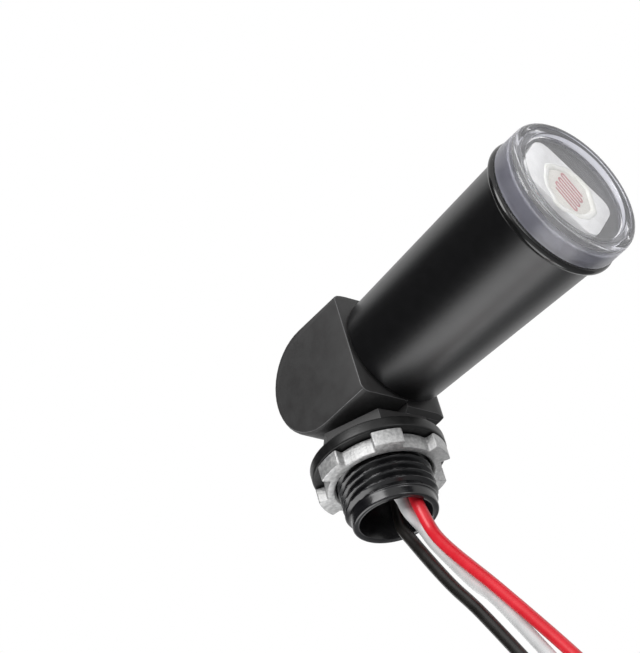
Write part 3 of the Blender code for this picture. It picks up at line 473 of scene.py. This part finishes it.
def make_cap():
    bore = CAP_RADIUS - CAP_WALL
    profile = [
        (0, WINDOW_BACK), (bore - CAP_CHAMFER, WINDOW_BACK), (bore, WINDOW_BACK - CAP_CHAMFER),
        (bore, CAP_START), (CAP_RADIUS - CAP_CHAMFER, CAP_START),
        (CAP_RADIUS, CAP_START + CAP_CHAMFER),
        *arc((CAP_RADIUS - CAP_EDGE, CAP_END - CAP_EDGE), CAP_EDGE, 0, 90, 8),
        *arc((GROOVE_PLACE, CAP_END), GROOVE_RADIUS, 0, -180, 5),
        *arc((WINDOW_RADIUS + RECESS_EDGE, CAP_END - RECESS_EDGE), RECESS_EDGE, 90, 180, 4),
        (WINDOW_RADIUS - FINE_STEP, WINDOW_FRONT + WINDOW_EDGE),
        (WINDOW_RADIUS - FINE_STEP - WINDOW_EDGE, WINDOW_FRONT), (0, WINDOW_FRONT),
    ]
    cap = spun("clear_cap", profile, ROUND_SIDES)
    # The side faces take the second finish, whose darker violet colour is painted light.
    dress(cap, "lens", "lens_side")
    second_finish(cap, lambda centre: math.hypot(centre.x, centre.y) > CAP_RADIUS - FINE_STEP
                  and centre.z > CAP_SIDE_FROM)
    settle(cap, TUBE_AXIS, 40)
    cap.visible_shadow = False
    belongs(cap, "head", None, "lens_cap")


# ---------------------------------------------------------------- cell behind the window

CELL_SIDES = 96
CELL_TOP = 57.9
CELL_RADIUS = 6.4
CELL_THICKNESS = 1.5
CELL_EDGE = 0.3
CELL_BACK_EDGE = 0.15
HOLDER_EDGE = 0.3
GLUE_RING = [
    (5.6, -0.1), (5.75, 0.12), (6.2, 0.3), (6.8, 0.34), (7.1, 0.22), (7.2, -0.1), (5.6, -0.1),
]
GLUE_WAVES = [(0.035, 4, 0.6 + math.pi / 2), (0.025, 7, 0), (0.012, 13, 0)]
TRACK_TURN = -13.0
TRACK_LINES = 7
TRACK_PITCH = 0.98
TRACK_HALF = 3.0
TRACK_SLANT = -0.23
TRACK_HALF_WIDTH = 0.21
TRACK_EDGE = 0.03
TRACK_LIFT = 0.02


def make_holder():
    holder = copy_of("cell_holder", "cell_holder_moulding")
    soften(holder, HOLDER_EDGE, 2)
    settle(holder, STEM_AXIS)
    belongs(holder, "head", "holder_plastic", "cell_holder")


def make_cell():
    back = CELL_TOP - CELL_THICKNESS
    profile = [
        (0, back), (CELL_RADIUS - CELL_BACK_EDGE, back), (CELL_RADIUS, back + CELL_BACK_EDGE),
        *arc((CELL_RADIUS - CELL_EDGE, CELL_TOP - CELL_EDGE), CELL_EDGE, 0, 90, 4), (0, CELL_TOP),
    ]
    disc = spun("cell_disc", profile, CELL_SIDES)
    settle(disc, CELL_AXIS)
    belongs(disc, "head", "cell_ceramic", "light_cell")


def make_glue():
    """The uneven ring of set glue round the cell."""
    profile = [(radius, CELL_TOP + height) for radius, height in GLUE_RING]
    glue = spun("cell_glue", profile, CELL_SIDES)
    for corner in glue.data.vertices:
        angle = math.atan2(corner.co.y, corner.co.x)
        swell = 1 + sum(depth * math.sin(waves * angle + shift)
                        for depth, waves, shift in GLUE_WAVES)
        corner.co.x *= swell
        corner.co.y *= swell
    settle(glue, CELL_AXIS, 60)
    belongs(glue, "head", "glue")


def make_track():
    """The cell's winding track, a flat strip along one line."""
    half = (TRACK_LINES - 1) / 2 * TRACK_PITCH
    path = []
    for i in range(TRACK_LINES):
        way = 1 if i % 2 == 0 else -1
        y = -half + i * TRACK_PITCH
        path += [(-way * TRACK_HALF, y), (way * TRACK_HALF, y)]
        if i < TRACK_LINES - 1:
            bend = arc((way * TRACK_HALF, y + TRACK_PITCH / 2), TRACK_PITCH / 2, -90,
                       90 if way > 0 else -270)
            path += bend[1:-1]
    path = [(x + TRACK_SLANT * y, y) for x, y in path]
    curve = bpy.data.curves.new("cell_track", "CURVE")
    curve.dimensions = "3D"
    curve.extrude = TRACK_HALF_WIDTH * MM
    curve.bevel_depth = TRACK_EDGE * MM
    curve.use_fill_caps = True
    spline = curve.splines.new("POLY")
    spline.points.add(len(path) - 1)
    for point, (x, y) in zip(spline.points, path):
        point.co = (x * MM, y * MM, 0, 1)
        point.tilt = math.radians(90)
    track = bpy.data.objects.new("cell_track", curve)
    bpy.context.scene.collection.objects.link(track)
    pick(track)
    bpy.ops.object.convert(target="MESH")
    track = bpy.context.object
    settle(track, CELL_AXIS @ Matrix.Translation((0, 0, (CELL_TOP + TRACK_LIFT) * MM))
           @ Matrix.Rotation(math.radians(TRACK_TURN), 4, "Z"))
    belongs(track, "head", "track")


# ---------------------------------------------------------------- knuckle, thread, gasket and nut

CHEEK_FACE = -13.2
CHEEK_CHAMFER = 0.25
CHEEK_FRONT = -12.95
CHEEK_ROLL_WIDTH = 0.75
CHEEK_ROLL_DEPTH = 0.4
NEAR = 0.01
HEAD_EDGE = 0.26
STEM_EDGE = 0.22
PIPE_TOP = HEX_BOTTOM - 0.01
PIPE_EDGE = 0.3
RING_EDGE = 0.5
THREAD_ROWS = 132
THREAD_SIDES = 144
THREAD_FLANK = 1.24
THREAD_FLAT = 0.1
THREAD_RUN_OUT = 0.9
GASKET_RADIUS = 15.0
GASKET_THICKNESS = 2.85
GASKET_EDGE = 0.55
GASKET_GAP = 0.3
NUT_EDGE = 0.35


def roll_cheek_edge(head):
    """Widens the small chamfer behind and below the cheek to the soft edge of the moulding."""
    for corner in head.data.vertices:
        x, y, z = corner.co / MM
        if y < CHEEK_FRONT + 5 * NEAR or x > CHEEK_FACE + CHEEK_CHAMFER + NEAR:
            continue
        if x < CHEEK_FACE + NEAR:
            out = Vector((max(y, 0.0), z - PIVOT_HEIGHT)).normalized()
            corner.co.y -= out.x * CHEEK_ROLL_WIDTH * MM
            corner.co.z -= out.y * CHEEK_ROLL_WIDTH * MM
        else:
            corner.co.x += CHEEK_ROLL_DEPTH * MM


def make_knuckle_tube_half():
    head = copy_of("swivel_head", "knuckle_tube_half")
    roll_cheek_edge(head)
    # The bevel strips take the second finish, a painted highlight along the edges.
    dress(head, "knuckle_plastic", "painted_edge_highlight")
    soften(head, HEAD_EDGE, slot=1)
    settle(head, STEM_AXIS)
    belongs(head, "head", None, "swivel_head")


def make_knuckle_stem_half():
    """The half with the hexagon, cut off where the threaded pipe begins."""
    stem = copy_of("swivel_stem", "knuckle_stem_half")
    edit(stem)
    bpy.ops.mesh.bisect(plane_co=(0, 0, PIPE_TOP * MM), plane_no=(0, 0, -1), clear_outer=True)
    bpy.ops.mesh.select_mode(type="EDGE")
    bpy.ops.mesh.select_all(action="DESELECT")
    bpy.ops.mesh.select_non_manifold(use_wire=False, use_multi_face=False, use_non_contiguous=False,
                                     use_verts=False)
    bpy.ops.mesh.fill()
    turn_outwards()
    # The bevel strips take the second finish, a painted highlight along the edges.
    dress(stem, "knuckle_plastic", "painted_edge_highlight")
    soften(stem, STEM_EDGE, slot=1)
    settle(stem, STEM_AXIS)
    belongs(stem, "stem", None, "swivel_stem")


def thread_radius(angle, height):
    """A right-hand pipe thread that runs out into the plain end ring."""
    turn = (height / THREAD_PITCH - angle / (2 * math.pi)) % 1.0
    share = min(1.0, max(0.0, abs(2 * turn - 1) * THREAD_FLANK - THREAD_FLAT))
    radius = THREAD_ROOT + (THREAD_CREST - THREAD_ROOT) * share
    started = min(1.0, max(0.0, (height - THREAD_STOP) / THREAD_RUN_OUT))
    return END_RING_RADIUS + (radius - END_RING_RADIUS) * started


def make_thread():
    """The hollow pipe: spun plain, then each corner of its wall moved to the thread's radius."""
    rise = (PIPE_TOP - THREAD_STOP) / THREAD_ROWS
    wall = [(END_RING_RADIUS + NEAR, THREAD_STOP + rise * i) for i in range(THREAD_ROWS + 1)]
    profile = [
        (STEM_BORE, PIPE_TOP), (STEM_BORE, STEM_END + PIPE_EDGE), (STEM_BORE + PIPE_EDGE, STEM_END),
        *arc((END_RING_RADIUS - RING_EDGE, STEM_END + RING_EDGE), RING_EDGE, -90, 0, 5),
        (END_RING_RADIUS, THREAD_STOP - PIPE_EDGE), *wall, (STEM_BORE, PIPE_TOP),
    ]
    pipe = spun("threaded_pipe", profile, THREAD_SIDES)
    for corner in pipe.data.vertices:
        x, y, z = corner.co / MM
        reach = math.hypot(x, y)
        if reach > END_RING_RADIUS - 10 * NEAR and z > THREAD_STOP + NEAR:
            share = thread_radius(math.atan2(y, x), z) / reach
            corner.co.x *= share
            corner.co.y *= share
    settle(pipe, STEM_AXIS, 50)
    belongs(pipe, "stem", "thread_plastic", "swivel_stem")


def make_gasket():
    inner = THREAD_CREST + GASKET_GAP
    round_place = GASKET_RADIUS - GASKET_EDGE
    profile = [
        (inner, 0), *arc((round_place, GASKET_EDGE), GASKET_EDGE, -90, 0),
        *arc((round_place, GASKET_THICKNESS - GASKET_EDGE), GASKET_EDGE, 0, 90),
        (inner, GASKET_THICKNESS), (inner, 0),
    ]
    gasket = spun("rubber_gasket", profile, THREAD_SIDES)
    settle(gasket, STEM_AXIS)
    belongs(gasket, "stem", "rubber", "stem_gasket")


def make_locknut():
    nut = copy_of("locknut", "cast_locknut")
    soften(nut, NUT_EDGE, angle=40)
    settle(nut, STEM_AXIS)
    belongs(nut, "stem", "zinc", "locknut")


# ---------------------------------------------------------------- leads
# Each lead's route is given in millimetres, first in the knuckle from the pivot, then down the stem
# and out of its mouth. The sixth point is the cord's exit, just inside the mouth. From there on
# the lead is LEAD_LENGTH long, its stripped end included.

LEAD_RADIUS = 1.4
LEAD_LENGTH = 150.0
LEAD_POINTS = 160
LEAD_ROUNDNESS = 5
STRIPPED_LENGTH = 10.0
POINTS_TO_EXIT = 6
CURVE_STEPS = 24
MEASURE_POINTS = 200
MEASURE_TURNS = 8
NO_LENGTH = 1e-12
STRANDS_ROUND = 6
STRAND_RADIUS = 0.25
STRAND_SPREAD = 0.49
STRAND_START = 0.3
STRAND_TWIST = 14
STRAND_STEPS = 24
KNUCKLE_ROUTES = {
    "red": [(1.35, -5.3, -2.8), (3.5, -5.1, -4.2), (3.75, -4.2, -8.3)],
    "white": [(1.35, -2.62, -5.42), (2.8, -1.5, -7.2), (3.2, -1.2, -11)],
    "black": [(1.35, 0.63, -5.97), (3, 1.7, -7.4), (3.9, 2.1, -11)],
}
STEM_ROUTES = {
    "red": [
        (3.4, -4.5, 5), (2.4, -5.1, -3), (1.2, -5.9, -9), (0.7, -6.2, -12.2), (1, -6.6, -15.9),
        (1.9, -7, -20.5), (1.7, -8.9, -24.9), (1.7, -11.8, -30.2), (1.6, -14.8, -35.1),
        (2.1, -20.2, -44.5), (3.6, -31.6, -66), (5.6, -41.8, -88), (7.6, -50.8, -110),
        (9.2, -58.6, -132),
    ],
    "white": [
        (2.9, -1.3, 4), (0.6, -1.9, -4), (-0.6, -2.9, -9), (0.1, -3.0, -10.5), (0.8, -3.2, -13.8),
        (3.3, -3.6, -17.8), (3.7, -5.1, -22.6), (3.9, -8.5, -29.8), (4.1, -12, -36.7),
        (3.8, -17.3, -45.1), (1.9, -29.8, -70), (3, -39, -91), (3.9, -47.2, -113),
        (4.5, -54.2, -135),
    ],
    "black": [
        (4.2, 2.3, 3), (4.2, 2.2, -4), (3.3, 1.8, -10), (1.6, 0.6, -15.2), (1.5, -1.3, -20),
        (1.1, -4, -25.9), (0.7, -6.8, -31.7), (0.6, -9.5, -37.2), (0.2, -15.4, -48),
        (-0.4, -27.6, -74), (-0.3, -36, -96), (0, -43.6, -118), (0.4, -50.4, -140),
    ],
}


def smooth_points(route, count):
    """A Catmull-Rom curve through the route, read at equal steps of its length."""
    ends = [2 * route[0] - route[1], *route, 2 * route[-1] - route[-2]]
    fine = []
    for a, b, c, d in zip(ends, ends[1:], ends[2:], ends[3:]):
        for i in range(CURVE_STEPS):
            t = i / CURVE_STEPS
            fine.append(0.5 * (2 * b + (c - a) * t + (2 * a - 5 * b + 4 * c - d) * t * t
                               + (3 * b - a - 3 * c + d) * t * t * t))
    fine.append(route[-1].copy())
    lengths = [0.0]
    for here, there in zip(fine, fine[1:]):
        lengths.append(lengths[-1] + (there - here).length)
    read, k = [], 0
    for i in range(count):
        target = lengths[-1] * i / (count - 1)
        while k < len(fine) - 2 and lengths[k + 1] < target:
            k += 1
        share = (target - lengths[k]) / max(lengths[k + 1] - lengths[k], NO_LENGTH)
        read.append(fine[k].lerp(fine[k + 1], share))
    return read


def length_of(points):
    return sum((there - here).length for here, there in zip(points, points[1:]))


def cut_to_length(route, wanted):
    """Moves the route's last point until its smooth curve has the wanted length."""
    for _ in range(MEASURE_TURNS):
        length = length_of(smooth_points(route, MEASURE_POINTS))
        last = route[-1] - route[-2]
        route[-1] = route[-2] + last * ((last.length + wanted - length) / last.length)
    return route


def wire(name, strands, radius):
    """One or more round strands along their points."""
    curve = bpy.data.curves.new(name, "CURVE")
    curve.dimensions = "3D"
    curve.bevel_depth = radius * MM
    curve.bevel_resolution = LEAD_ROUNDNESS
    curve.use_fill_caps = True
    for strand in strands:
        spline = curve.splines.new("POLY")
        spline.points.add(len(strand) - 1)
        for point, place in zip(spline.points, strand):
            point.co = (*(place * MM), 1.0)
        spline.use_smooth = True
    made = bpy.data.objects.new(name, curve)
    bpy.context.scene.collection.objects.link(made)
    return made


def strip_end(colour, end, way):
    """The bare copper beyond the lead's end: one straight strand with six twisted round it."""
    side = way.orthogonal().normalized()
    reach = [STRAND_START + (STRIPPED_LENGTH - STRAND_START) * i / STRAND_STEPS
             for i in range(STRAND_STEPS + 1)]
    strands = [[end + way * along for along in reach]]
    for k in range(STRANDS_ROUND):
        strand = []
        for i, along in enumerate(reach):
            turn = math.radians(360 / STRANDS_ROUND * k + STRAND_TWIST * i)
            out = Matrix.Rotation(turn, 3, way) @ side
            strand.append(end + way * along + out * STRAND_SPREAD)
        strands.append(strand)
    bare = wire("bare_end_" + colour, strands, STRAND_RADIUS)
    pick(bare)
    bpy.ops.object.convert(target="MESH")
    bare = bpy.context.object
    belongs(bare, "stem", "copper", "lead_end_" + colour)
    return bare


def make_lead(colour):
    above = [Vector(point) + Vector((0, 0, PIVOT_HEIGHT)) for point in KNUCKLE_ROUTES[colour]]
    route = above + [Vector(point) for point in STEM_ROUTES[colour]]
    inside = route[:POINTS_TO_EXIT]
    length = length_of(inside) + LEAD_LENGTH - STRIPPED_LENGTH
    route = cut_to_length(route, length)
    lead = wire("lead_in_" + colour, [smooth_points(route, LEAD_POINTS)], LEAD_RADIUS)
    belongs(lead, "stem", colour + "_insulation", "lead_" + colour)
    bare = strip_end(colour, route[-1], (route[-1] - route[-2]).normalized())


for colour in ("red", "white", "black"):
    make_lead(colour)
make_tube()
make_bead_ring()
make_cap()
make_holder()
make_cell()
make_glue()
make_track()
make_knuckle_tube_half()
make_knuckle_stem_half()
make_thread()
make_gasket()
make_locknut()


# ---------------------------------------------------------------- CAD nodes that stay as they are

KEPT_NODES = {
    "steel": ["pivot_screw", "pivot_lock_washer", "calibration_screw"],
    "rubber": ["knuckle_seal"],
    "phenolic": ["switch_base"],
    "cell_ceramic": ["heater_resistor"],
    "brass": ["load_terminal", "neutral_terminal", "line_rivet", "load_rivet", "neutral_rivet"],
    "bimetal": ["bimetal_arm"],
    "silver": ["fixed_contact", "moving_contact"],
    "tinned_wire": ["cell_lead_line", "cell_lead_heater",
                    "heater_lead_cell", "heater_lead_neutral"],
    "red_insulation": ["inner_lead_red"],
    "white_insulation": ["inner_lead_white"],
    "black_insulation": ["inner_lead_black"],
}
for finish, names in KEPT_NODES.items():
    for name in names:
        for slot in frame["nodes"][name].material_slots:
            slot.material = FINISHES[finish]


# ---------------------------------------------------------------- studio, in metres

AIM = Vector((0, -0.03, 0.01))
FILL_COLOUR = (0.95, 0.97, 1.0, 1.0)
FILL_STRENGTH = 0.28
SEEN_COLOUR = (1.0, 1.0, 1.0, 1.0)
SEEN_STRENGTH = 1.0
FLOOR_HEIGHT = -0.8
FLOOR_SIZE = 6.0


def studio_world():
    """A weak cool fill light; the camera, reflections and clear plastic see plain white."""
    world = bpy.data.worlds.new("studio_world")
    bpy.context.scene.world = world
    world.use_nodes = True
    nodes, links = world.node_tree.nodes, world.node_tree.links
    nodes.clear()
    out = nodes.new("ShaderNodeOutputWorld")
    fill = nodes.new("ShaderNodeBackground")
    fill.inputs["Color"].default_value = FILL_COLOUR
    fill.inputs["Strength"].default_value = FILL_STRENGTH
    seen = nodes.new("ShaderNodeBackground")
    seen.inputs["Color"].default_value = SEEN_COLOUR
    seen.inputs["Strength"].default_value = SEEN_STRENGTH
    rays = nodes.new("ShaderNodeLightPath")
    first = nodes.new("ShaderNodeMath")
    first.operation = "MAXIMUM"
    second = nodes.new("ShaderNodeMath")
    second.operation = "MAXIMUM"
    mix = nodes.new("ShaderNodeMixShader")
    links.new(rays.outputs["Is Camera Ray"], first.inputs[0])
    links.new(rays.outputs["Is Glossy Ray"], first.inputs[1])
    links.new(first.outputs[0], second.inputs[0])
    links.new(rays.outputs["Is Transmission Ray"], second.inputs[1])
    links.new(second.outputs[0], mix.inputs[0])
    links.new(fill.outputs[0], mix.inputs[1])
    links.new(seen.outputs[0], mix.inputs[2])
    links.new(mix.outputs[0], out.inputs["Surface"])


def lamp(name, place, size, power, height=None):
    """A disc of that size, or an oval of size by height, turned to the part."""
    data = bpy.data.lights.new(name, "AREA")
    data.shape = "ELLIPSE" if height else "DISK"
    data.size = size
    data.size_y = height or size
    data.energy = power
    made = bpy.data.objects.new(name, data)
    bpy.context.scene.collection.objects.link(made)
    made.location = place
    made.rotation_euler = (AIM - Vector(place)).to_track_quat("-Z", "Y").to_euler()


def make_floor():
    deselect()
    bpy.ops.mesh.primitive_plane_add(size=FLOOR_SIZE, location=(0, 0, FLOOR_HEIGHT))
    floor = bpy.context.object
    floor.name = "studio_floor"
    bpy.ops.object.transform_apply(location=True, rotation=True, scale=True)
    floor.data.materials.append(surface(
        "pale_floor", (0.80, 0.80, 0.80), (0.84, 0.84, 0.84), (0.7, 0.8),
        mottle=400.0, grain=40.0, bump=0.02))


def make_flag(name, place, size):
    """A black card that only reflections see; it gives the glossy parts their dark band."""
    deselect()
    bpy.ops.mesh.primitive_plane_add(size=size, location=place)
    card = bpy.context.object
    card.name = name
    card.rotation_euler = (AIM - Vector(place)).to_track_quat("Z", "Y").to_euler()
    bpy.ops.object.transform_apply(location=True, rotation=True, scale=True)
    card.data.materials.append(surface(
        "black_card", (0, 0, 0), (0.001, 0.001, 0.001), (0.9, 1.0),
        mottle=400.0, grain=40.0, bump=0.0, Specular_IOR_Level=0.0))
    card.visible_camera = False
    card.visible_shadow = False
    card.visible_diffuse = False
    card.visible_transmission = False


studio_world()
lamp("key_from_left", (-0.95, -0.25, 0.25), 0.7, 9.0)
lamp("softbox_from_below", (-0.07, 0.39, -0.61), 0.92, 5.2, 0.6)
lamp("front", (-0.15, -0.95, 0.05), 0.4, 1.7)
make_flag("dark_card", (-0.72, 0.50, 0.04), 2.3)
make_floor()
bpy.context.scene.view_settings.view_transform = "Standard"
